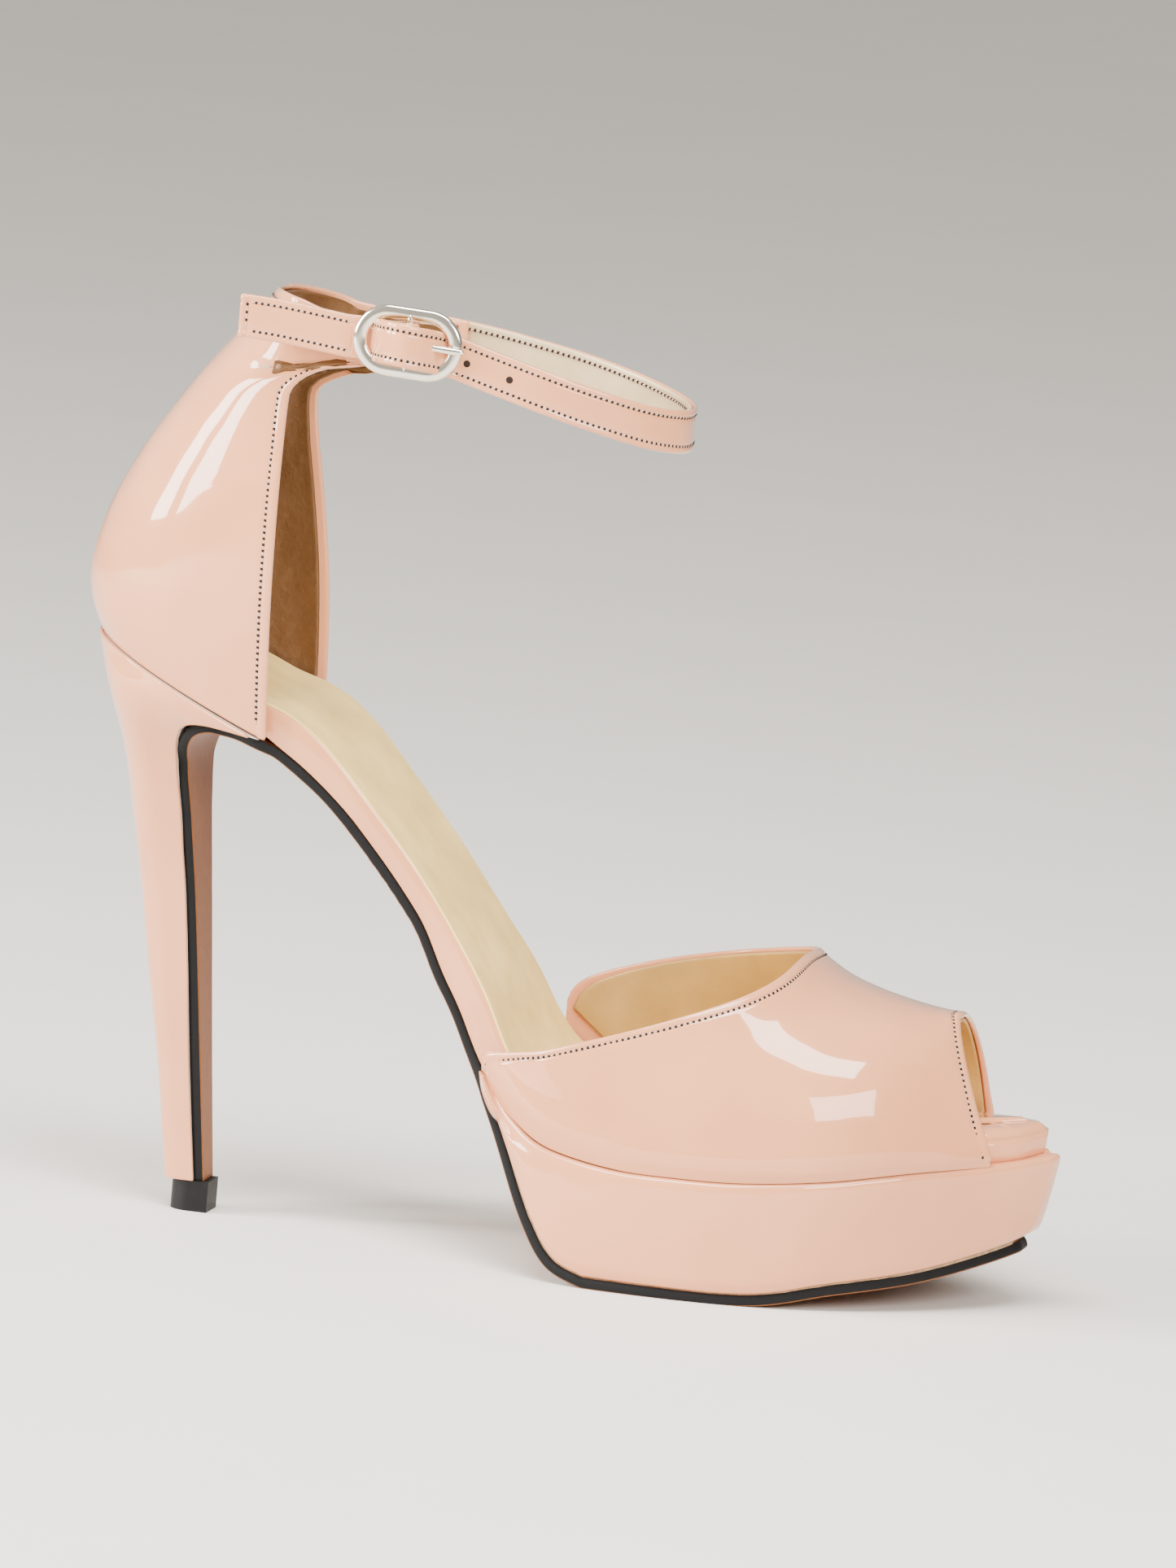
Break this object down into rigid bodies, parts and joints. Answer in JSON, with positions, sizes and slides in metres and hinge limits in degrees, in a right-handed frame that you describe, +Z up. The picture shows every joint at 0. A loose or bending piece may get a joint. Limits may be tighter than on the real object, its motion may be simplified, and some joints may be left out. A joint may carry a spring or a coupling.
{
  "type": "platform peep-toe stiletto sandal",
  "caption": "Right platform stiletto sandal with open toe, closed heel counter, padded sock and a buckled ankle strap.",
  "frame": {"origin": "centre of the heel tip's bottom face, on the ground", "axes": "+X to the toe, +Y to the medial (inner) side, +Z up"},
  "size_m": [0.2141, 0.0801, 0.1974],
  "materials": {
    "outsole": "matt",
    "cork": "granular, matt",
    "patent": "high gloss patent",
    "board": "matt",
    "steel": "bright",
    "foam": "matt",
    "gold_leather": "satin, pale metallic",
    "heel_plastic": "matt",
    "tip": "satin",
    "pale_gold_metal": "polished"
  },
  "bodies": {
    "shoe": {"outsole": "outsole", "platform_core": "cork", "platform_cover": "patent", "forepart_filler": "cork", "insole_board": "board", "shank": "steel", "insole_wrap": "patent", "sock_padding": "foam", "sock_lining": "gold_leather", "heel_block": "heel_plastic", "heel_cover": "patent", "heel_tube": "steel", "top_lift": "tip", "top_lift_pin": "steel", "heel_screw": "steel", "heel_nails": "steel", "vamp": "patent", "vamp_lining": "gold_leather", "quarter_lateral": "patent", "quarter_medial": "patent", "counter_stiffener": "board", "counter_lining": "gold_leather"},
    "strap": {"strap_ear_medial": "patent", "buckle_tab": "patent", "ankle_strap": "patent", "strap_lining": "gold_leather"},
    "tail": {"strap_tail": "patent", "tail_lining": "gold_leather"},
    "buckle": {"buckle_frame": "pale_gold_metal"},
    "prong": {"buckle_prong": "pale_gold_metal"}
  },
  "joints": [
    {"name": "strap_tilt", "type": "hinge", "parent": "shoe", "child": "strap", "pos_m": [0.014, 0, 0.18475], "axis": [0, -0.9949, 0.1013], "range_deg": [-15, 22]},
    {"name": "tail_lift", "type": "hinge", "parent": "strap", "child": "tail", "pos_m": [0.0256, -0.02995, 0.1896], "axis": [0, 0, 1], "range_deg": [0, 35]},
    {"name": "buckle_rock", "type": "hinge", "parent": "strap", "child": "buckle", "pos_m": [0.038, -0.0331, 0.1898], "axis": [0.0436, 0, 0.999], "range_deg": [-3, 3]},
    {"name": "prong_lift", "type": "hinge", "parent": "buckle", "child": "prong", "pos_m": [0.038, -0.0331, 0.1898], "axis": [-0.0436, 0, -0.999], "range_deg": [0, 4]}
  ]
}
